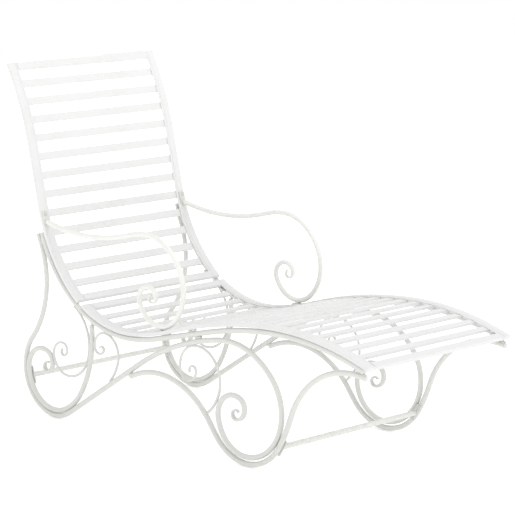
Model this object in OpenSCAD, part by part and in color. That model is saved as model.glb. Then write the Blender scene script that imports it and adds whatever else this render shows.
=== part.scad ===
// Outdoor daybed: two slatted steel panels carried between two side frames of bent round tube.
// A person lies with the head at -X and the feet at +X. The floor is z = 0, the middle plane y = 0.

/* [Panels] */
// Width of the two slatted panels
panel_w = 600; // [560:1:700]
// Width of a panel's side, top and foot bars
bar_w = 25; // [22:1:30]
// Thickness of those bars
bar_t = 12; // [12:1:14]
// Width of the inward lip that holds the slats' ends down
lip_w = 8; // [4:1:12]
// Thickness of the lip
lip_t = 3; // [2:0.5:3]
// How far the lip lies below the bar's face
lip_drop = 1; // [0:0.5:1]
// Width of a back slat
back_slat_w = 25; // [16:1:26]
// Width of a seat slat
seat_slat_w = 22; // [16:1:24]
// Thickness of a slat
slat_t = 8; // [6:1:8]
// Number of slats in the back panel
back_slats = 12; // [8:1:12]
// Number of slats in the seat panel
seat_slats = 21; // [14:1:21]

/* [Side frames] */
// Diameter of the frames' round tube
tube_d = 16; // [14:1:18]
// Diameter of the thin scrolls' rod
rod_d = 8; // [6:1:9]
// How far the frames' centre planes lie inside the panels' outer faces
frame_inset = 6; // [4:1:8]
// Thickness of a scroll's forged end
flat_t = 5; // [4:0.5:6]
// Width of a scroll's forged end
flat_w = 18; // [14:1:20]

/* [Armrests] */
// How far the armrests' centre planes lie inside the panels' outer faces
arm_inset = 12.5; // [11:0.5:14]
// Length, width and thickness of the plate that fixes an armrest to the back panel
arm_plate = [42, 22, 4]; // [3:1:50]
// Length, width and thickness of the pad between an armrest and the seat panel
arm_pad = [26, 18, 4.5]; // [3:0.5:30]

/* [Crossbars] */
// Diameter of the two crossbars
crossbar_d = 16; // [12:1:18]
// Length, width and thickness of the plates at the crossbars' ends
cross_plate = [58, 20, 4]; // [3:1:60]

/* [Bolts] */
// Diameter of a bolt's shank
bolt_d = 6; // [5:1:8]
// Diameter of a bolt's domed head
head_d = 12; // [10:1:14]
// Height of a bolt's domed head
head_h = 4; // [3:0.5:5]
// Distance between the two bolts of a crossbar's plate
bolt_pitch = 42; // [36:1:42]

/* [Hidden] */
$fn = 48;
degree = PI / 180;
// Distance from the drawing's origin to the middle of the daybed, along its length
x_mid = 559;

// A bar is [[x, z, heading], bends]. A bend is [radius, angle]: a positive radius turns up and back,
// a negative one the other way, and [0, length] runs straight.
back_edge = [[-198, 1102, -60], [[-900, 17.5], [0, 190], [475, 39.5]]];
seat_edge = [[132, 380, -31], [[390, 39], [1150, 8.5], [-1500, 15.5], [-1015, 21.5]]];
rail = [[-58, 583, -71.5], [[410, 75.5], [700, 9], [0, 220], [-1400, 9.5], [-1000, 23]]];
rear_leg = on_floor([
    [-77, 577, -68],
    [[0, 35], [-285, 65], [140, 164.5], [0, 385], [-900, 24], [-240, 59],
     [-147, 129.5], [-114, 81], [-66, 118], [-34, 165], [-14, 226]]
]);
front_leg = on_floor([[347, 188, 25.5], [[-280, 80.5], [400, 6], [160, 106.5], [500, 11.8], [-250, 82]]]);
rear_loop = [
    [168.5, 320, -85],
    [[-340, 39.5], [-170, 28.5], [0, 10], [-124, 113.5], [-68, 120], [-36, 115], [-16, 241]]
];
rear_scroll = [[87, 368.5, -28.5], [[-130, 80.5], [-101, 75], [-68, 73], [-40, 119], [-20, 141], [-11, 171]]];
brace_scroll = [[249, 158, 43.5], [[145, 30], [63, 115], [45, 79], [23, 141], [10, 190]]];
hump_scroll = [[683.5, 132.5, 36], [[138, 32.5], [95, 128], [68, 83], [34, 166], [14, 211]]];
arm = [
    [-41.5, 617.8, -14.6],
    [[770, 29.1], [-290, 14], [-165, 72.5], [-125, 66.5], [-95, 109], [-40, 163], [-20, 121], [-12, 174]]
];

frame_z = panel_w / 2 - frame_inset;
arm_z = panel_w / 2 - arm_inset;
inner_z = panel_w / 2 - bar_w;
slat_drop = lip_drop + lip_t;
// Distance between the points of a panel's side view
outline_step = 12;
// A collar's length and extra diameter, and how far the two bends end before its middle
collar_l = 3;
collar_extra = 0.6;
collar_gap = 0.5;

// Places along the bars where small parts sit
arm_plate_at = 499;
arm_plate_bolt_at = 486;
arm_pad_at = 354;
front_cross_at = 728;
rear_cross_at = 550;
back_tabs = [525, 765];
seat_tabs = [30, 1190];
// Spacers between the seat panel and the rail: [place, height]
spacers = [[398, 2], [512, 5.8], [669, 3.8]];
spacer_d = 14;
// Length, width and thickness of a tab under a panel, and the middle of its width
tab = [26, 26, 3];
tab_z = 275;
tab_bolt_z = 277;
tab_bolt_grip = 9;
plate_bolt_grip = 10;

// Where a bar is, and which way it heads, at the end of one bend
function step(p, b) =
    b[0] == 0
        ? [p[0] + b[1] * cos(p[2]), p[1] + b[1] * sin(p[2]), p[2]]
        : let (h = p[2] + sign(b[0]) * b[1])
            [p[0] + b[0] * (sin(h) - sin(p[2])), p[1] + b[0] * (cos(p[2]) - cos(h)), h];

// Length of one bend, and of a whole bar
function bend_length(b) = b[0] == 0 ? b[1] : abs(b[0]) * b[1] * degree;
function bar_length(bends, i = 0) = i == len(bends) ? 0 : bend_length(bends[i]) + bar_length(bends, i + 1);

// The first part of a bend, of length s
function part_bend(b, s) = [b[0], b[0] == 0 ? s : s / abs(b[0]) / degree];

// Where each bend of a bar starts
function bend_starts(p, bends, i = 0) =
    i == len(bends) ? [] : concat([p], bend_starts(step(p, bends[i]), bends, i + 1));

// Place and heading at a distance s along a bar
function along(bar, s) = walk(bar[0], bar[1], s, 0);
function walk(p, bends, s, i) =
    s <= bend_length(bends[i]) || i == len(bends) - 1
        ? step(p, part_bend(bends[i], s))
        : walk(step(p, bends[i]), bends, s - bend_length(bends[i]), i + 1);

// A bar raised or lowered until its tube just stands on the floor
function on_floor(bar) =
    let (low = min([for (s = [0 : bar_length(bar[1])]) along(bar, s)[1]]), p = bar[0])
        [[p[0], p[1] + tube_d / 2 - low, p[2]], bar[1]];

// From the drawing plane to the daybed: the drawing's z axis points to the right-hand side, -Y
module stand_up() {
    rotate([90, 0, 0])
        translate([-x_mid, 0, 0])
            children();
}

// One bend of a bar. The profile's x is up from the heading and its y is across the daybed
module bend(b) {
    if (b[0] == 0)
        rotate([90, 0, 90])
            linear_extrude(height = b[1])
                children();
    else if (b[0] > 0)
        translate([0, b[0], 0])
            rotate([0, 0, -90])
                rotate_extrude(angle = b[1])
                    translate([b[0], 0])
                        mirror([1, 0])
                            children();
    else
        translate([0, b[0], 0])
            rotate([0, 0, 90 - b[1]])
                rotate_extrude(angle = b[1])
                    translate([-b[0], 0])
                        children();
}

// Thin collar round a tube, which joins the ends of two bends
module collar(d) {
    rotate([0, 90, 0])
        cylinder(d = d + collar_extra, h = collar_l, center = true);
}

// Round tube along the bends first to last of a bar. Its bends meet inside thin collars
module tube(bar, d, first, last) {
    starts = bend_starts(bar[0], bar[1]);
    for (i = [first : last]) {
        b = bar[1][i];
        skip = i == first ? 0 : collar_gap;
        cut = i == last ? 0 : collar_gap;
        at(step(starts[i], part_bend(b, skip)))
            bend(part_bend(b, bend_length(b) - skip - cut))
                circle(d = d);
        if (i > first)
            at(starts[i])
                collar(d);
    }
}

// Children set at a place along a bar, with x along the bar, y up from it and z across the daybed
module at(place) {
    translate([place[0], place[1], 0])
        rotate([0, 0, place[2]])
            children();
}

// Children on the right-hand side (side = 1) or the left-hand side (side = -1)
module on_side(side) {
    mirror([0, 0, side == 1 ? 0 : 1])
        children();
}

module both_sides() {
    for (side = [1, -1])
        on_side(side)
            children();
}

// Round tube whose last bend is forged into a flat strip
module scroll_tube(bar, d, strip_t, strip_w) {
    last = len(bar[1]) - 1;
    start = bend_starts(bar[0], bar[1])[last];
    b = bar[1][last];
    tube(bar, d, 0, last - 1);
    at(start)
        collar(d);
    at(step(start, part_bend(b, collar_gap)))
        bend(part_bend(b, bend_length(b) - collar_gap))
            square([strip_t, strip_w], center = true);
}

module thin_scroll(bar) {
    stand_up()
        both_sides()
            translate([0, 0, frame_z])
                scroll_tube(bar, rod_d, rod_d - 2, rod_d + 2);
}

// Points of a line that lies drop below a panel's edge, one about every outline_step
function edge_line(edge, drop) =
    let (length = bar_length(edge[1]), n = ceil(length / outline_step))
        [for (i = [0 : n]) let (p = along(edge, length * i / n)) [p[0] + drop * sin(p[2]), p[1] - drop * cos(p[2])]];

// Side view of a strip of a panel, from a drop of high to a drop of low below the edge
module edge_strip(edge, high, low) {
    bottom = edge_line(edge, low);
    polygon(concat(edge_line(edge, high), [for (i = [len(bottom) - 1 : -1 : 0]) bottom[i]]));
}

// Side bar of a panel: a flat bar with a lower lip along its inner edge
module side_bar(edge, side) {
    stand_up()
        on_side(side) {
            translate([0, 0, inner_z])
                linear_extrude(height = bar_w)
                    edge_strip(edge, 0, bar_t);
            translate([0, 0, inner_z - lip_w])
                linear_extrude(height = lip_w + 1)
                    edge_strip(edge, lip_drop, slat_drop);
        }
}

// Bar across a panel's end, notched at both ends for the side bars' lips
module end_bar(edge, place) {
    stand_up()
        at(along(edge, place)) {
            translate([-bar_w / 2, -bar_t, -inner_z])
                cube([bar_w, bar_t - slat_drop, 2 * inner_z]);
            translate([-bar_w / 2, -slat_drop, lip_w - inner_z])
                cube([bar_w, slat_drop, 2 * (inner_z - lip_w)]);
        }
}

// Slat number i of a panel with count slats, equally spaced between its end bars
module slat(edge, count, width, i) {
    length = bar_length(edge[1]);
    gap = (length - 2 * bar_w - count * width) / (count + 1);
    stand_up()
        at(along(edge, bar_w + i * (gap + width) - width / 2))
            translate([-width / 2, -slat_drop - slat_t, -inner_z])
                cube([width, slat_t, 2 * inner_z]);
}

module back_slat(i) {
    color("whitesmoke")
        slat(back_edge, back_slats, back_slat_w, i);
}

module seat_slat(i) {
    color("whitesmoke")
        slat(seat_edge, seat_slats, seat_slat_w, i);
}

module back_side_bar(side) {
    color("white")
        side_bar(back_edge, side);
}

module seat_side_bar(side) {
    color("white")
        side_bar(seat_edge, side);
}

module back_top_bar() {
    color("white")
        end_bar(back_edge, bar_w / 2);
}

module back_bottom_bar() {
    color("white")
        end_bar(back_edge, bar_length(back_edge[1]) - bar_w / 2);
}

module seat_head_bar() {
    color("white")
        end_bar(seat_edge, bar_w / 2);
}

module seat_foot_bar() {
    color("white")
        end_bar(seat_edge, bar_length(seat_edge[1]) - bar_w / 2);
}

// Tube under both panels, which carries them from the back to the foot end
module side_rail(side) {
    color("white")
        stand_up()
            on_side(side)
                translate([0, 0, frame_z])
                    tube(rail, tube_d, 0, len(rail[1]) - 1);
}

// One tube: rear loop on the floor, brace, hump under the seat and front scroll on the floor
module rear_leg_bar(side) {
    color("white")
        stand_up()
            on_side(side)
                translate([0, 0, frame_z])
                    scroll_tube(rear_leg, tube_d, flat_t, flat_w);
}

// One tube: from the brace down to the floor, round and up to the foot end
module front_leg_bar(side) {
    color("white")
        stand_up()
            on_side(side)
                translate([0, 0, frame_z])
                    tube(front_leg, tube_d, 0, len(front_leg[1]) - 1);
}

// Second loop, inside the rear leg's loop
module rear_loop_bar(side) {
    color("white")
        stand_up()
            on_side(side)
                translate([0, 0, frame_z])
                    scroll_tube(rear_loop, tube_d, flat_t, flat_w);
}

module rear_scrolls() {
    color("white")
        thin_scroll(rear_scroll);
}

module brace_scrolls() {
    color("white")
        thin_scroll(brace_scroll);
}

module hump_scrolls() {
    color("white")
        thin_scroll(hump_scroll);
}

module armrest(side) {
    color("white")
        stand_up()
            on_side(side)
                translate([0, 0, arm_z])
                    scroll_tube(arm, tube_d, flat_t, flat_w);
}

// Straight tube between the end plates of the two side frames
module crossbar(bar, place) {
    half = frame_z - tube_d / 2 - cross_plate[2];
    color("white")
        stand_up()
            at(along(bar, place))
                translate([0, 0, -half])
                    cylinder(d = crossbar_d, h = 2 * half);
}

module rear_crossbar() {
    crossbar(rear_loop, rear_cross_at);
}

module front_crossbar() {
    crossbar(front_leg, front_cross_at);
}

// A bolt with its head towards +z, its head's flat side on z = 0
module bolt(grip) {
    dome = (head_d * head_d / 4 + head_h * head_h) / (2 * head_h);
    translate([0, 0, -grip])
        cylinder(d = bolt_d, h = grip);
    intersection() {
        cylinder(d = head_d, h = head_h);
        translate([0, 0, head_h - dome])
            sphere(r = dome);
    }
}

// Children at both bolts of a crossbar's plate, with +z towards the middle of the daybed
module at_plate_bolts(bar, place) {
    at(along(bar, place))
        for (end = [-1, 1])
            translate([end * bolt_pitch / 2, 0, frame_z - tube_d / 2 - cross_plate[2]])
                rotate([180, 0, 0])
                    children();
}

// Plate on the inner face of a side frame, which holds a crossbar's end
module end_plate(bar, place) {
    difference() {
        at(along(bar, place))
            translate([0, 0, frame_z - tube_d / 2 - cross_plate[2] / 2])
                cube(cross_plate, center = true);
        at_plate_bolts(bar, place)
            translate([0, 0, -cross_plate[2] - 1])
                cylinder(d = bolt_d, h = cross_plate[2] + 2);
    }
}

module crossbar_plates() {
    color("white")
        stand_up()
            both_sides() {
                end_plate(rear_loop, rear_cross_at);
                end_plate(front_leg, front_cross_at);
            }
}

module arm_plate_hole() {
    at(along(back_edge, arm_plate_bolt_at))
        translate([0, -1, arm_z])
            rotate([-90, 0, 0])
                cylinder(d = bolt_d, h = arm_plate[2] + 2);
}

// Plates and pads that hold the armrests on the two panels
module arm_brackets() {
    color("white")
        stand_up()
            both_sides() {
                difference() {
                    at(along(back_edge, arm_plate_at))
                        translate([-arm_plate[0] / 2, 0, arm_z - arm_plate[1] / 2])
                            cube([arm_plate[0], arm_plate[2], arm_plate[1]]);
                    arm_plate_hole();
                }
                at(along(seat_edge, arm_pad_at))
                    translate([-arm_pad[0] / 2, 0, arm_z - arm_pad[1] / 2])
                        cube([arm_pad[0], arm_pad[2], arm_pad[1]]);
            }
}

// Tab between a side rail and a panel's underside
module panel_tab(edge, place) {
    at(along(edge, place))
        difference() {
            translate([-tab[0] / 2, -bar_t - tab[2], tab_z - tab[1] / 2])
                cube([tab[0], tab[2], tab[1]]);
            translate([0, 1 - bar_t, tab_bolt_z])
                rotate([90, 0, 0])
                    cylinder(d = bolt_d, h = tab[2] + 2);
        }
}

module spacer(place, height) {
    at(along(seat_edge, place))
        translate([0, -bar_t, frame_z])
            rotate([90, 0, 0])
                cylinder(d = spacer_d, h = height);
}

module panel_mounts() {
    color("white")
        stand_up()
            both_sides() {
                for (place = back_tabs)
                    panel_tab(back_edge, place);
                for (place = seat_tabs)
                    panel_tab(seat_edge, place);
                for (one = spacers)
                    spacer(one[0], one[1]);
            }
}

// Bolt that holds a panel's side bar on its tab, with its head below
module tab_bolt(edge, place) {
    at(along(edge, place))
        translate([0, -bar_t - tab[2], tab_bolt_z])
            rotate([90, 0, 0])
                bolt(tab_bolt_grip);
}

module bolts() {
    color("silver")
        stand_up()
            both_sides() {
                at_plate_bolts(rear_loop, rear_cross_at)
                    bolt(plate_bolt_grip);
                at_plate_bolts(front_leg, front_cross_at)
                    bolt(plate_bolt_grip);
                at(along(back_edge, arm_plate_bolt_at))
                    translate([0, arm_plate[2], arm_z])
                        rotate([-90, 0, 0])
                            bolt(plate_bolt_grip);
                for (place = back_tabs)
                    tab_bolt(back_edge, place);
                for (place = seat_tabs)
                    tab_bolt(seat_edge, place);
            }
}

for (i = [1 : back_slats])
    back_slat(i);
for (i = [1 : seat_slats])
    seat_slat(i);
back_side_bar(-1);  // back_side_bar_left
back_side_bar(1);  // back_side_bar_right
back_top_bar();
back_bottom_bar();
seat_side_bar(-1);  // seat_side_bar_left
seat_side_bar(1);  // seat_side_bar_right
seat_head_bar();
seat_foot_bar();
side_rail(-1);  // side_rail_left
side_rail(1);  // side_rail_right
rear_leg_bar(-1);  // rear_leg_left
rear_leg_bar(1);  // rear_leg_right
front_leg_bar(-1);  // front_leg_left
front_leg_bar(1);  // front_leg_right
rear_loop_bar(-1);  // rear_loop_left
rear_loop_bar(1);  // rear_loop_right
rear_scrolls();
brace_scrolls();
hump_scrolls();
armrest(-1);  // armrest_left
armrest(1);  // armrest_right
rear_crossbar();
front_crossbar();
crossbar_plates();
arm_brackets();
panel_mounts();
bolts();
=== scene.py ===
# %% [markdown]
# # A scrollwork daybed in white powder-coated steel
#
# The real daybed is welded from thin steel tube. Two slatted panels, one for the back and one for the
# seat, lie on a pair of side frames whose tubes were bent cold on a former and rolled into scrolls at
# their ends. Everything is painted one white; the frames are made a touch greyer as painted shade,
# and the armrests and crossbars a touch lighter as painted light.
#
# The imported CAD model is the fixed frame. The slats and the panels' end bars are already the right
# shape, so they stay and get softened edges and paint. The bent bars are swept again here as smooth
# meshes, because a forged scroll tapers from a round tube to a flat strip.

import math

import bmesh
import bpy
from mathutils import Matrix, Vector, noise


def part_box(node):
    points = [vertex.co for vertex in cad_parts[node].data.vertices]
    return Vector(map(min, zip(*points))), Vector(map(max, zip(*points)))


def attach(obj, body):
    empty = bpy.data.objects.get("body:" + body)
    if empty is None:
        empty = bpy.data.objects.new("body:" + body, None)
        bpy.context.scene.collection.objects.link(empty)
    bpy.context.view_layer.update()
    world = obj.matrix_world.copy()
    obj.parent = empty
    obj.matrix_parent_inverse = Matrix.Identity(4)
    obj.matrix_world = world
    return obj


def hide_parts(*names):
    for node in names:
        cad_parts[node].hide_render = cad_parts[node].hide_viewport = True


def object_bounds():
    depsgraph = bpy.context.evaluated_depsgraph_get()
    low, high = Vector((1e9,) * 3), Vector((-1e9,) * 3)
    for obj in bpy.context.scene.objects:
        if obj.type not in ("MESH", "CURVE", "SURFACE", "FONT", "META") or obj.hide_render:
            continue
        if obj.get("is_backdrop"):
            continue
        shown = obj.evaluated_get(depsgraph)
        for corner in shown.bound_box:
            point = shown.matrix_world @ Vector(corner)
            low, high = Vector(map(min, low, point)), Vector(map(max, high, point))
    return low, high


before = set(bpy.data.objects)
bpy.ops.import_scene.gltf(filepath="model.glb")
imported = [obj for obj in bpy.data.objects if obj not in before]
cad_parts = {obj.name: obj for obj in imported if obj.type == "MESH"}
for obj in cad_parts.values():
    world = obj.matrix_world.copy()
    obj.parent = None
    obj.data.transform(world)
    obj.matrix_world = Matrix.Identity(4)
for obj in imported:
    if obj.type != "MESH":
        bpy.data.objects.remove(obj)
cad_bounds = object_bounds()
MM = 0.001
print("nodes in the frame:", len(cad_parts))

# %% [markdown]
# ## How a bar is described
#
# A bender sets a radius and an angle for each bend, so a bar is a start (along the daybed, height,
# heading in degrees) and a list of bends. A positive radius turns up and back, a negative one turns the
# other way, and a radius of 0 is a straight run with its length. Everything here is in millimetres, as
# on a workshop drawing, and turns into metres only when the mesh is made.

# %% Bars
TUBE = 16.0
ROD = 8.0
MIDDLE = 559.0
HALF_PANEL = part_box("seat_head_bar")[1][1] / MM + 25.0
FRAME_Y = HALF_PANEL - 6.0
ARM_Y = HALF_PANEL - 12.5

BACK_EDGE = ((-198, 1102, -60), [(-900, 17.5), (0, 190), (475, 39.5)])
SEAT_EDGE = ((132, 380, -31), [(390, 39), (1150, 8.5), (-1500, 15.5), (-1015, 21.5)])
RAIL = ((-58, 583, -71.5), [(410, 75.5), (700, 9), (0, 220), (-1400, 9.5), (-1000, 23)])
REAR_LEG = (
    (-77, 577, -68),
    [(0, 35), (-285, 65), (140, 164.5), (0, 385), (-900, 24), (-240, 59), (-147, 129.5), (-114, 81)]
    + [(-66, 118), (-34, 165), (-14, 226)],
)
FRONT_LEG = ((347, 188, 25.5), [(-280, 80.5), (400, 6), (160, 106.5), (500, 11.8), (-250, 82)])
REAR_LOOP = (
    (168.5, 320, -85),
    [(-340, 39.5), (-170, 28.5), (0, 10), (-124, 113.5), (-68, 120), (-36, 115), (-16, 241)],
)
REAR_SCROLL = ((87, 368.5, -28.5), [(-130, 80.5), (-101, 75), (-68, 73), (-40, 119), (-20, 141), (-11, 171)])
BRACE_SCROLL = ((249, 158, 43.5), [(145, 30), (63, 115), (45, 79), (23, 141), (10, 190)])
HUMP_SCROLL = ((683.5, 132.5, 36), [(138, 32.5), (95, 128), (68, 83), (34, 166), (14, 211)])
ARM = (
    (-41.5, 617.8, -14.6),
    [(770, 29.1), (-290, 14), (-165, 72.5), (-125, 66.5), (-95, 109), (-40, 163), (-20, 121), (-12, 174)],
)


def step(place, bend):
    """The place and heading at the end of one bend."""
    x, z, h = place
    radius, amount = bend
    a = math.radians(h)
    if radius == 0:
        return (x + amount * math.cos(a), z + amount * math.sin(a), h)
    end = h + math.copysign(amount, radius)
    b = math.radians(end)
    return (x + radius * (math.sin(b) - math.sin(a)), z + radius * (math.cos(a) - math.cos(b)), end)


def bend_length(bend):
    return bend[1] if bend[0] == 0 else abs(bend[0]) * math.radians(bend[1])


def bar_length(bar):
    return sum(bend_length(b) for b in bar[1])


def walk(bar, most_turn=4.0, most_run=14.0):
    """Places along a bar as (distance, x, z, heading), close enough together for a smooth sweep."""
    place, far = bar[0], 0.0
    rows = [(0.0, *place)]
    for radius, amount in bar[1]:
        length = bend_length((radius, amount))
        turn = 0 if radius == 0 else amount / most_turn
        count = max(1, math.ceil(max(turn, length / most_run)))
        for i in range(1, count + 1):
            rows.append((far + length * i / count, *step(place, (radius, amount * i / count))))
        place, far = step(place, (radius, amount)), far + length
    return rows


def along(bar, distance):
    """The place and heading at a distance along a bar."""
    place = bar[0]
    for bend in bar[1]:
        length = bend_length(bend)
        if distance <= length:
            return step(place, (bend[0], bend[1] * distance / length))
        distance -= length
        place = step(place, bend)
    return place


def on_floor(bar):
    """The bar raised or lowered until its tube just stands on the floor."""
    low = min(z for _, _, z, _ in walk(bar, 0.5, 2.0))
    x, z, h = bar[0]
    return ((x, z + TUBE / 2 - low, h), bar[1])


REAR_LEG = on_floor(REAR_LEG)
FRONT_LEG = on_floor(FRONT_LEG)
print("rear leg bar: %.0f mm of tube" % bar_length(REAR_LEG))

# %% [markdown]
# ## Sweeping a bar
#
# A section is a ring of points (up from the bar, across the daybed). Round tube keeps one ring. A
# forged end is hammered flat over its last stretch: the ring gets thinner, a little wider and squarer,
# then narrows to the tip. A superellipse covers all of these with one formula.

# %% Sweep
RING = 24


def smooth(t):
    t = min(max(t, 0.0), 1.0)
    return t * t * (3 - 2 * t)


def ring(up, across, square=2.0):
    """A superellipse: square = 2 is an ellipse, larger values are boxier."""
    points = []
    for i in range(RING):
        a = 2 * math.pi * (i + 0.5) / RING
        c, s = math.cos(a), math.sin(a)
        points.append(
            (up * math.copysign(abs(c) ** (2 / square), c), across * math.copysign(abs(s) ** (2 / square), s))
        )
    return points


def round_tube(radius):
    return lambda left: ring(radius, radius)


def forged(radius, thick, wide, tip, stretch):
    """Section of a tube that is hammered flat over its last stretch, in millimetres from the end."""

    def section(left):
        t = smooth(1 - left / stretch)
        narrow = smooth(1 - left / (0.55 * stretch))
        across = radius + (wide / 2 - radius) * t
        return ring(radius + (thick / 2 - radius) * t, across + (tip / 2 - across) * narrow, 2 + 1.6 * t)

    return section


def constant(points):
    return lambda left: points


def ring_row(bm, row, section, plane, side, grow=1.0):
    """One ring of vertices round a place of a bar. side is -1 on the right and 1 on the left."""
    _, x, z, h = row
    a = math.radians(h)
    made = []
    for up, across in section:
        u, w = up * grow, plane + across * grow
        made.append(
            bm.verts.new(((x - MIDDLE - u * math.sin(a)) * MM, side * w * MM, (z + u * math.cos(a)) * MM))
        )
    return made


def sweep_into(bm, bar, section, plane, side, cap=1.0):
    """Sweeps a section along a bar, with softly rounded ends."""
    rows = walk(bar)
    length = rows[-1][0]
    ends = [(0.0, 0.86), (0.35 * cap, 0.96), (cap, 1.0)]
    head = [(d, *along(bar, d)) for d, _ in ends]
    tail = [(length - d, *along(bar, length - d)) for d, _ in reversed(ends)]
    middle = [r for r in rows if cap < r[0] < length - cap]
    grows = [g for _, g in ends] + [1.0] * len(middle) + [g for _, g in reversed(ends)]
    rings = [
        ring_row(bm, r, section(length - r[0]), plane, side, g) for r, g in zip(head + middle + tail, grows)
    ]
    for a, b in zip(rings, rings[1:]):
        for i in range(len(a)):
            j = (i + 1) % len(a)
            bm.faces.new((a[i], a[j], b[j], b[i]))
    bm.faces.new(rings[0])
    bm.faces.new(list(reversed(rings[-1])))


def piece(name, fill, material, nodes=(), sharp=40):
    """Makes a mesh with fill(bm), paints it and puts it on the daybed's one body."""
    bm = bmesh.new()
    fill(bm)
    bmesh.ops.recalc_face_normals(bm, faces=bm.faces)
    mesh = bpy.data.meshes.new(name)
    bm.to_mesh(mesh)
    bm.free()
    mesh.shade_smooth()
    mesh.set_sharp_from_angle(angle=math.radians(sharp))
    mesh.materials.append(material)
    made = bpy.data.objects.new(name, mesh)
    bpy.context.scene.collection.objects.link(made)
    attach(made, "root")
    if nodes:
        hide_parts(*nodes)
    return made


# %% [markdown]
# ## A small language for materials
#
# A shader is easier to read as arithmetic than as a wiring diagram. A Sock wraps one output socket, so
# that + - * build Math nodes, and node() adds any other node: settings first, then its inputs.

# %% Material language
class Sock:
    """An output socket that can be added, multiplied and so on."""

    def __init__(self, tree, socket):
        self.tree, self.socket = tree, socket

    def math(self, operation, *others, clamp=False):
        made = self.tree.nodes.new("ShaderNodeMath")
        made.operation, made.use_clamp = operation, clamp
        for i, value in enumerate((self, *others)):
            plug(self.tree, made.inputs[i], value)
        return Sock(self.tree, made.outputs[0])

    def __add__(self, other):
        return self.math("ADD", other)

    def __radd__(self, other):
        return self.math("ADD", other)

    def __rsub__(self, other):
        return self.math("MULTIPLY", -1.0).math("ADD", other)

    def __mul__(self, other):
        return self.math("MULTIPLY", other)

    def __rmul__(self, other):
        return self.math("MULTIPLY", other)

    def between(self, low, high):
        """0 below low, 1 above high, and smooth between them."""
        made = self.tree.nodes.new("ShaderNodeMapRange")
        made.interpolation_type = "SMOOTHSTEP"
        plug(self.tree, made.inputs["Value"], self)
        made.inputs["From Min"].default_value = low
        made.inputs["From Max"].default_value = high
        return Sock(self.tree, made.outputs["Result"])


def plug(tree, socket, value):
    if isinstance(value, Sock):
        tree.links.new(value.socket, socket)
    else:
        socket.default_value = value


class Shader:
    """A material's node tree, with a Principled surface at its end."""

    def __init__(self, name, **constants):
        self.material = bpy.data.materials.new(name)
        self.material.use_nodes = True
        self.tree = self.material.node_tree
        self.surface = next(n for n in self.tree.nodes if n.type == "BSDF_PRINCIPLED")
        for key, value in constants.items():
            self.surface.inputs[key.replace("_", " ")].default_value = value

    def node(self, kind, out, settings=None, **inputs):
        made = self.tree.nodes.new("ShaderNode" + kind)
        for key, value in (settings or {}).items():
            setattr(made, key, value)
        for key, value in inputs.items():
            plug(self.tree, made.inputs[key.replace("_", " ")], value)
        return Sock(self.tree, made.outputs[out])

    def place(self):
        """Position in the daybed's own frame, in metres."""
        return self.node("TexCoord", "Object")

    def noise(self, scale, detail=2.0, rough=0.5, where=None):
        return self.node(
            "TexNoise", 0, Vector=where or self.place(), Scale=scale, Detail=detail, Roughness=rough
        )

    def mix(self, amount, first, second):
        made = self.tree.nodes.new("ShaderNodeMix")
        made.data_type = "RGBA"
        plug(self.tree, made.inputs[0], amount)
        plug(self.tree, made.inputs[6], first)
        plug(self.tree, made.inputs[7], second)
        return Sock(self.tree, made.outputs[2])

    def bump(self, height, distance, strength=1.0, under=None):
        inputs = {"Height": height, "Distance": distance, "Strength": strength}
        if under is not None:
            inputs["Normal"] = under
        return self.node("Bump", 0, **inputs)

    def set(self, key, value):
        plug(self.tree, self.surface.inputs[key], value)


# %% [markdown]
# ## The paint
#
# Powder coat is a baked resin film about 0.08 mm thick. It is satin, very faintly pebbled like orange
# peel, and it flows thin over sharp edges and thick in corners, so edges read a touch warmer. Outdoors
# it gathers a little grey dust in broad patches, and the colour is also made greyer low down, towards
# the floor. The tubes' paint also shows the soft waves left by bending and hammering under the film.

# %% Paint
# The frames use the same white paint as the panels, made darker here as painted shade.
PANEL_WHITE = (0.70, 0.703, 0.696)
FRAME_WHITE_SHADED = (0.645, 0.65, 0.62)
DUST_AND_LOW_GREY = (0.57, 0.57, 0.54, 1)
EDGE_WHITE = (0.62, 0.60, 0.54, 1)
SPECK = (0.34, 0.31, 0.26, 1)


def powder_coat(name, white, peel=0.00006, waves=0.0, wear=0.5):
    """Satin powder coat over steel. waves is the height of dents under the film."""
    paint = Shader(name, IOR=1.5, Specular_IOR_Level=0.45)
    where = paint.place()
    patches = paint.noise(7.0, 4.0, 0.6, where).between(0.42, 0.72)
    fine = paint.noise(90.0, 3.0, 0.6, where)
    height = paint.node("SeparateXYZ", "Z", Vector=where)
    # The colour is made greyer over the lowest 0.35 m, darker towards the bottom.
    low = 1.0 - height.between(0.0, 0.35)
    dust_and_low_darkening = (patches * 0.35 + low * 0.25) * fine.between(0.3, 0.75)
    edge = paint.node("NewGeometry", "Pointiness").between(0.53, 0.60) * fine.between(0.45, 0.6) * wear
    speck = paint.noise(420.0, 1.0, 0.5, where).between(0.735, 0.765) * wear
    colour = paint.mix(dust_and_low_darkening, (*white, 1), DUST_AND_LOW_GREY)
    colour = paint.mix(edge, colour, EDGE_WHITE)
    paint.set("Base Color", paint.mix(speck * 0.5, colour, SPECK))
    paint.set("Roughness", 0.36 + patches * 0.10 + fine * 0.08 + dust_and_low_darkening * 0.2)
    skin = paint.bump(paint.noise(1400.0, 2.0, 0.55, where), peel)
    if waves:
        skin = paint.bump(paint.noise(38.0, 2.0, 0.4, where), waves, under=skin)
    paint.set("Normal", skin)
    return paint.material


def toned(white, amount):
    return tuple(c * amount for c in white)


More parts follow.
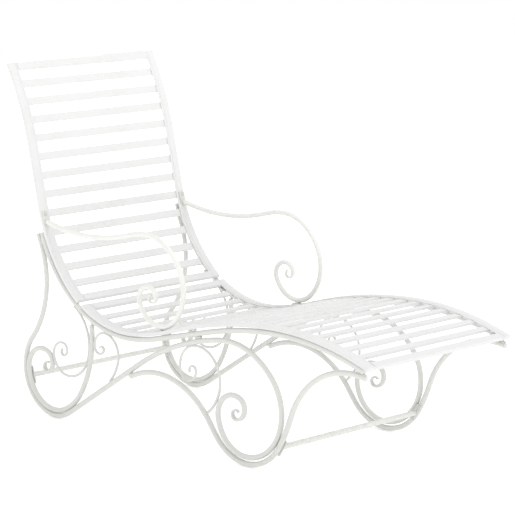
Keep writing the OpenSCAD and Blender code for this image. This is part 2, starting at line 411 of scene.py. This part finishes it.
panel_paint = powder_coat("panel_powder_coat", PANEL_WHITE)
# Armrests: the frame white toned lighter, as painted light.
arm_paint = powder_coat("armrest_powder_coat", toned(FRAME_WHITE_SHADED, 1.18), waves=0.0007)
# Frames and scrolls: the darker frame white, as painted shade.
frame_paint = powder_coat("frame_powder_coat", FRAME_WHITE_SHADED, waves=0.0007)
# Crossbars: the frame white toned lighter, as painted light.
crossbar_paint = powder_coat("crossbar_powder_coat", toned(FRAME_WHITE_SHADED, 1.18), waves=0.0005)
scroll_paint = powder_coat("scroll_powder_coat", FRAME_WHITE_SHADED, waves=0.0011, wear=0.8)
bolt_paint = powder_coat("bolt_paint", toned(FRAME_WHITE_SHADED, 0.86), peel=0.00012, wear=1.0)
weld_paint = powder_coat("weld_paint", toned(FRAME_WHITE_SHADED, 0.96), peel=0.0002, waves=0.0008, wear=0.9)

# %% [markdown]
# ## Panels
#
# Each panel is a ladder of box-section slats between two bent side bars. The slats and end bars are
# straight, so the CAD solids stay and only lose their knife edges: rolled box section has corner radii
# of about 1.5 mm. The side bars are swept again, so that their long curves are smooth.

# %% Slats and end bars
for name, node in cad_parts.items():
    if "slat" in name or name.endswith(("top_bar", "bottom_bar", "head_bar", "foot_bar")):
        weld = node.modifiers.new("join_corners", "WELD")
        weld.merge_threshold = 0.00002
        soften = node.modifiers.new("corner_radius", "BEVEL")
        soften.width = 0.0014
        soften.segments = 3
        soften.limit_method = "ANGLE"
        soften.harden_normals = True
    for i in range(len(node.material_slots)):
        node.material_slots[i].material = bolt_paint if name == "bolts" else panel_paint

# %% Side bars
BAR_W, BAR_T, LIP_W, LIP_T, LIP_DROP = 25.0, 12.0, 8.0, 3.0, 1.0


def rounded(corners, radius, count=3):
    """An outline with small round corners, each made of count + 1 points."""
    points = []
    for i, corner in enumerate(corners):
        here = Vector(corner)
        before = (Vector(corners[i - 1]) - here).normalized() * radius
        after = (Vector(corners[(i + 1) % len(corners)]) - here).normalized() * radius
        for k in range(count + 1):
            t = k / count
            bent = here + before * (1 - t) ** 2 + after * t**2
            points.append((bent.x, bent.y))
    return points


def side_bar_section():
    inner = -BAR_W
    under = -LIP_DROP - LIP_T
    corners = [(0, 0), (-BAR_T, 0), (-BAR_T, inner), (under, inner), (under, inner - LIP_W)]
    corners += [(-LIP_DROP, inner - LIP_W), (-LIP_DROP, inner), (0, inner)]
    return rounded(corners, 0.9)


def make_side_bar(edge):
    def fill(bm, side):
        sweep_into(bm, edge, constant(side_bar_section()), HALF_PANEL, side, cap=0.4)

    return fill


def one_side(fill, side):
    return lambda bm: fill(bm, side)


for panel, edge in (("back", BACK_EDGE), ("seat", SEAT_EDGE)):
    for label, side in (("left", 1), ("right", -1)):
        name = f"{panel}_side_bar_{label}"
        fill = one_side(make_side_bar(edge), side)
        piece(name + "_swept", fill, panel_paint, [name], sharp=30)

# %% [markdown]
# ## Side frames and armrests
#
# Each frame is drawn flat in one plane: a rail under the panels, one long tube that makes the rear loop,
# the brace, the hump and the front scroll, a second tube for the front arch, and a smaller loop inside
# the rear one. Thin rods rolled into scrolls fill the gaps.

# %% Frame tubes
def make_bar(bar, section, plane):
    return lambda bm, side: sweep_into(bm, bar, section, plane, side)


TUBE_END = forged(TUBE / 2, thick=5.0, wide=18.0, tip=9.0, stretch=95.0)
LONG_END = forged(TUBE / 2, thick=5.0, wide=18.0, tip=9.0, stretch=150.0)
ROD_END = forged(ROD / 2, thick=4.5, wide=10.0, tip=8.0, stretch=60.0)
ROUND = round_tube(TUBE / 2)
BARS = {
    "side_rail": (RAIL, ROUND, FRAME_Y, frame_paint),
    "rear_leg": (REAR_LEG, LONG_END, FRAME_Y, frame_paint),
    "front_leg": (FRONT_LEG, ROUND, FRAME_Y, frame_paint),
    "rear_loop": (REAR_LOOP, TUBE_END, FRAME_Y, frame_paint),
    "armrest": (ARM, LONG_END, ARM_Y, arm_paint),
}
for name, (bar, section, plane, paint) in BARS.items():
    for label, side in (("left", 1), ("right", -1)):
        fill = one_side(make_bar(bar, section, plane), side)
        piece(f"{name}_{label}_tube", fill, paint, [f"{name}_{label}"])

# %% Thin scrolls
for name, bar in (
    ("rear_scrolls", REAR_SCROLL), ("brace_scrolls", BRACE_SCROLL), ("hump_scrolls", HUMP_SCROLL)
):
    for label, side in (("left", 1), ("right", -1)):
        fill = one_side(make_bar(bar, ROD_END, FRAME_Y), side)
        piece(f"{name}_{label}_rod", fill, scroll_paint, [name])

# %% [markdown]
# ## Crossbars, plates and bolts
#
# Two straight tubes keep the side frames apart. Each ends in a small plate that is bolted to a frame
# tube with two dome-headed bolts. The same bolts hold the armrests and the panels.

# %% Crossbars and small parts
CROSS_PLATE = (58.0, 20.0, 4.0)
ARM_PLATE = (42.0, 22.0, 4.0)
ARM_PAD = (26.0, 18.0, 4.5)
TAB = (26.0, 26.0, 3.0)
BOLT_PITCH = 42.0
HEAD_D, HEAD_H, SHANK_D, GRIP = 12.0, 4.0, 6.0, 8.0
REAR_CROSS = along(REAR_LOOP, 550)
FRONT_CROSS = along(FRONT_LEG, 728)
PLATE_Y = FRAME_Y - TUBE / 2
ARM_PLATE_PLACE = along(BACK_EDGE, 499)
ARM_BOLT_PLACE = along(BACK_EDGE, 486)
ARM_PAD_PLACE = along(SEAT_EDGE, 354)
BACK_TABS = [along(BACK_EDGE, s) for s in (525, 765)]
SEAT_TABS = [along(SEAT_EDGE, s) for s in (30, 1190)]
SPACERS = [(along(SEAT_EDGE, s), h) for s, h in ((398, 2.0), (512, 5.8), (669, 3.8))]
TAB_Y, TAB_BOLT_Y = 275.0, 277.0


def local(place, side):
    """Matrix from (along the bar, up from it, towards the outside) in mm to the scene in metres."""
    x, z, h = place
    a = math.radians(h)
    turn = Matrix(((math.cos(a), -math.sin(a), 0), (0, 0, side), (math.sin(a), math.cos(a), 0)))
    scale = turn.to_4x4()
    scale.translation = Vector((x - MIDDLE, 0, z))
    return Matrix.Scale(MM, 4) @ scale


def lathe(bm, profile, matrix, count=28):
    """Turns (radius, height) points round the matrix's own z axis."""
    rings = []
    for radius, height in profile:
        row = []
        for i in range(count):
            a = 2 * math.pi * i / count
            row.append(bm.verts.new(matrix @ Vector((radius * math.cos(a), radius * math.sin(a), height))))
        rings.append(row)
    for a, b in zip(rings, rings[1:]):
        for i in range(count):
            j = (i + 1) % count
            bm.faces.new((a[i], a[j], b[j], b[i]))
    bm.faces.new(rings[0])
    bm.faces.new(list(reversed(rings[-1])))


def slab(bm, size, matrix, corner=3.0, soft=0.6):
    """A plate with rounded corners and softened rims, centred on the matrix, its thickness along z."""
    long, wide, thick = size
    x, y = long / 2, wide / 2
    outline = rounded([(-x, -y), (x, -y), (x, y), (-x, y)], corner, 5)
    levels = [(-thick / 2, soft), (soft - thick / 2, 0.0), (thick / 2 - soft, 0.0), (thick / 2, soft)]
    rings = []
    for height, inset in levels:
        kx, ky = 1 - 2 * inset / long, 1 - 2 * inset / wide
        rings.append([bm.verts.new(matrix @ Vector((x * kx, y * ky, height))) for x, y in outline])
    for a, b in zip(rings, rings[1:]):
        for i in range(len(a)):
            j = (i + 1) % len(a)
            bm.faces.new((a[i], a[j], b[j], b[i]))
    bm.faces.new(rings[0])
    bm.faces.new(list(reversed(rings[-1])))


FACE_UP = Matrix.Rotation(-math.pi / 2, 4, "X")


def fill_crossbar(place):
    half = PLATE_Y - CROSS_PLATE[2]
    r = TUBE / 2
    profile = [(r - 0.4, -half), (r, 0.8 - half), (r, half - 0.8), (r - 0.4, half)]
    return lambda bm: lathe(bm, profile, local(place, 1))


piece("rear_crossbar_tube", fill_crossbar(REAR_CROSS), crossbar_paint, ["rear_crossbar"])
piece("front_crossbar_tube", fill_crossbar(FRONT_CROSS), crossbar_paint, ["front_crossbar"])


def fill_cross_plates(bm):
    for side in (1, -1):
        for place in (REAR_CROSS, FRONT_CROSS):
            middle = Matrix.Translation((0, 0, PLATE_Y - CROSS_PLATE[2] / 2))
            slab(bm, CROSS_PLATE, local(place, side) @ middle, corner=6.0)


def fill_arm_brackets(bm):
    for side in (1, -1):
        plate = local(ARM_PLATE_PLACE, side) @ Matrix.Translation((0, ARM_PLATE[2] / 2, ARM_Y))
        slab(bm, ARM_PLATE, plate @ FACE_UP, corner=4.0)
        pad = local(ARM_PAD_PLACE, side) @ Matrix.Translation((0, ARM_PAD[2] / 2, ARM_Y))
        slab(bm, ARM_PAD, pad @ FACE_UP, corner=2.5)


def fill_panel_mounts(bm):
    for side in (1, -1):
        for place in BACK_TABS + SEAT_TABS:
            middle = Matrix.Translation((0, -BAR_T - TAB[2] / 2, TAB_Y))
            slab(bm, TAB, local(place, side) @ middle @ FACE_UP, corner=3.0)
        for place, height in SPACERS:
            base = local(place, side) @ Matrix.Translation((0, -BAR_T - height, FRAME_Y)) @ FACE_UP
            lathe(bm, [(6.6, 0), (7, 0.4), (7, height - 0.4), (6.6, height)], base)


piece("crossbar_end_plates", fill_cross_plates, frame_paint, ["crossbar_plates"])
piece("arm_plates_and_pads", fill_arm_brackets, frame_paint, ["arm_brackets"])
piece("panel_tabs_and_spacers", fill_panel_mounts, frame_paint, ["panel_mounts"])

# %% Bolts
def bolt_profile(grip):
    """A dome head on a shank, from the shank's end to the top of the dome."""
    rim = HEAD_D / 2
    dome = [(rim * math.cos(a), 0.8 + (HEAD_H - 0.8) * math.sin(a)) for a in (0.0, 0.35, 0.7, 1.05, 1.35)]
    return [(SHANK_D / 2, -grip), (SHANK_D / 2, 0), (rim - 0.5, 0), (rim, 0.3)] + dome


def fill_bolts(bm):
    for side in (1, -1):
        for place in (REAR_CROSS, FRONT_CROSS):
            for end in (-0.5, 0.5):
                seat = Matrix.Translation((end * BOLT_PITCH, 0, PLATE_Y - CROSS_PLATE[2]))
                head = local(place, side) @ seat @ Matrix.Rotation(math.pi, 4, "X")
                lathe(bm, bolt_profile(GRIP), head)
        arm = local(ARM_BOLT_PLACE, side) @ Matrix.Translation((0, ARM_PLATE[2], ARM_Y))
        lathe(bm, bolt_profile(GRIP), arm @ FACE_UP)
        for place in BACK_TABS + SEAT_TABS:
            tab = local(place, side) @ Matrix.Translation((0, -BAR_T - TAB[2], TAB_BOLT_Y))
            lathe(bm, bolt_profile(GRIP), tab @ Matrix.Rotation(math.pi / 2, 4, "X"))


piece("dome_bolts", fill_bolts, bolt_paint, ["bolts"])

# %% [markdown]
# ## Weld beads
#
# Bars that touch are joined by a short weld run, which stays visible under the paint as a lumpy bead.
# The places aren't listed: each bead sits where two bars come closest to each other.

# %% Weld beads
def closest(first, second, start=0.0, stop=1.0):
    """The middle and direction of the narrowest gap between part of one bar and another bar."""
    rows = walk(first, 3.0, 5.0)
    length = rows[-1][0]
    rows = [r for r in rows if start * length <= r[0] <= stop * length]
    others = walk(second, 3.0, 5.0)
    a, b = min(
        ((a, b) for a in rows for b in others),
        key=lambda pair: (pair[0][1] - pair[1][1]) ** 2 + (pair[0][2] - pair[1][2]) ** 2,
    )
    return ((a[1] + b[1]) / 2, (a[2] + b[2]) / 2, a[3])


def bead(bm, place, side, plane, long, fat, seed):
    """One lumpy weld bead, longer along the bar than across it."""
    grown = bmesh.ops.create_icosphere(bm, subdivisions=3, radius=1.0)
    shape = local(place, side) @ Matrix.Translation((0, 0, plane)) @ Matrix.Diagonal((long, fat, fat, 1))
    for v in grown["verts"]:
        ripple = 0.12 * math.sin(v.co.x * 11.0) * (1 - v.co.x**2)
        lump = 1 + ripple + 0.16 * noise.noise(v.co * 2.3 + Vector((seed, 0, 0)))
        v.co = shape @ (v.co * lump)


WELDS = [
    (closest(RAIL, REAR_LEG, 0.0, 0.06), 14, 3.6),
    (closest(REAR_LEG, FRONT_LEG, 0.2, 0.6), 11, 3.4),
    (closest(REAR_LOOP, RAIL, 0.0, 0.1), 7, 3.4),
    (closest(REAR_LOOP, REAR_LEG, 0.3, 0.6), 12, 3.0),
    (closest(REAR_SCROLL, RAIL, 0.0, 0.1), 6, 2.6),
    (closest(REAR_SCROLL, REAR_LOOP, 0.2, 0.5), 7, 2.4),
    (closest(BRACE_SCROLL, REAR_LEG, 0.0, 0.1), 6, 2.6),
    (closest(BRACE_SCROLL, REAR_LOOP, 0.4, 1.0), 6, 2.4),
    (closest(BRACE_SCROLL, RAIL, 0.2, 0.7), 6, 2.4),
    (closest(HUMP_SCROLL, FRONT_LEG, 0.0, 0.1), 6, 2.6),
    (closest(HUMP_SCROLL, REAR_LEG, 0.0, 0.3), 6, 2.4),
    (closest(HUMP_SCROLL, REAR_LEG, 0.35, 0.7), 7, 2.4),
    (closest(FRONT_LEG, RAIL, 0.9, 1.0), 9, 3.2),
    (closest(REAR_LEG, RAIL, 0.35, 0.6), 12, 3.8),
]


def fill_welds(bm):
    for side in (1, -1):
        for seed, (place, long, fat) in enumerate(WELDS):
            for face in (-1, 1):
                bead(bm, place, side, FRAME_Y + face * fat * 0.5, long, fat, seed * 3.7 + side + face)


piece("weld_beads", fill_welds, weld_paint, sharp=80)

# %% [markdown]
# ## Studio
#
# A pale floor that fades to white, a wide soft key over the foot end, a faint fill from the right and an
# even white surround, so that the white paint keeps its shape without hard shadows.

# %% Floor
FLOOR_RADIUS = 14.0
NEAR_GLOW = (0.26, 0.26, 0.26, 1)
FAR_GLOW = (0.85, 0.85, 0.85, 1)


def fill_floor(bm):
    bmesh.ops.create_circle(bm, cap_ends=True, segments=96, radius=FLOOR_RADIUS)


floor_mesh = bpy.data.meshes.new("floor")
floor_bm = bmesh.new()
fill_floor(floor_bm)
floor_bm.to_mesh(floor_mesh)
floor_bm.free()
floor = bpy.data.objects.new("floor", floor_mesh)
bpy.context.scene.collection.objects.link(floor)
floor.location.z = -0.0005
floor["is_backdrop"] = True

ground = Shader("studio_floor", Specular_IOR_Level=0.1, Emission_Strength=1.0)
far = ground.node("VectorMath", "Value", {"operation": "LENGTH"}, Vector=ground.place()).between(0.9, 3.0)
grain = ground.noise(60.0, 3.0)
ground.set("Base Color", ground.mix(grain * 0.06, (0.90, 0.90, 0.90, 1), (0.82, 0.82, 0.82, 1)))
ground.set("Roughness", 0.75 + grain * 0.15)
ground.set("Emission Color", ground.mix(far, NEAR_GLOW, FAR_GLOW))
floor_mesh.materials.append(ground.material)

# %% Lights
world = bpy.data.worlds.new("studio")
bpy.context.scene.world = world
world.use_nodes = True
world.node_tree.nodes["Background"].inputs["Color"].default_value = (1, 1, 1, 1)
world.node_tree.nodes["Background"].inputs["Strength"].default_value = 1.0
bpy.context.scene.view_settings.view_transform = "Standard"
MIDDLE_OF_BED = Vector(cad_bounds[0] + cad_bounds[1]) / 2


def softbox(name, place, size, power):
    lamp = bpy.data.lights.new(name, "AREA")
    lamp.shape, lamp.size, lamp.energy = "DISK", size, power
    made = bpy.data.objects.new(name, lamp)
    made.location = place
    made.rotation_mode = "QUATERNION"
    made.rotation_quaternion = (Vector(place) - MIDDLE_OF_BED).to_track_quat("Z", "Y")
    bpy.context.scene.collection.objects.link(made)


softbox("key", (1.3, 0.4, 3.6), 2.0, 27.0)
softbox("fill", (3.4, -1.2, 1.6), 2.4, 2.0)

# %% [markdown]
# ## Camera
#
# A long lens, a little above the seat and 46 degrees round from the right-hand side, so that both the
# near side frame's scrolls and the slats' rhythm show.

# %% Camera
CAM_AZIMUTH, CAM_ELEVATION, CAM_ROLL = 45.735, 9.805, -0.599
CAM_DISTANCE = 6.8931
CAM_TARGET = Vector((0.0367, 0.0, 0.5421))
az, el, roll = (math.radians(a) for a in (CAM_AZIMUTH, CAM_ELEVATION, CAM_ROLL))
back = Vector((math.sin(az) * math.cos(el), -math.cos(az) * math.cos(el), math.sin(el)))
right = Vector((math.cos(az), math.sin(az), 0))
up = back.cross(right)
right, up = math.cos(roll) * right + math.sin(roll) * up, math.cos(roll) * up - math.sin(roll) * right
camera = bpy.data.objects.new("camera", bpy.data.cameras.new("camera"))
camera.data.lens, camera.data.sensor_width = 160.9, 36.0
camera.data.clip_end = 100.0
camera.matrix_world = Matrix((right, up, back)).transposed().to_4x4()
camera.location = CAM_TARGET + back * CAM_DISTANCE
bpy.context.scene.collection.objects.link(camera)
bpy.context.scene.camera = camera

# %% Finish
sizes = {
    "cad": [[float(v) for v in corner] for corner in cad_bounds],
    "visual": [[float(v) for v in corner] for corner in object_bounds()],
}
for name, corners in sizes.items():
    print(name, "box:", [[round(v, 4) for v in corner] for corner in corners])
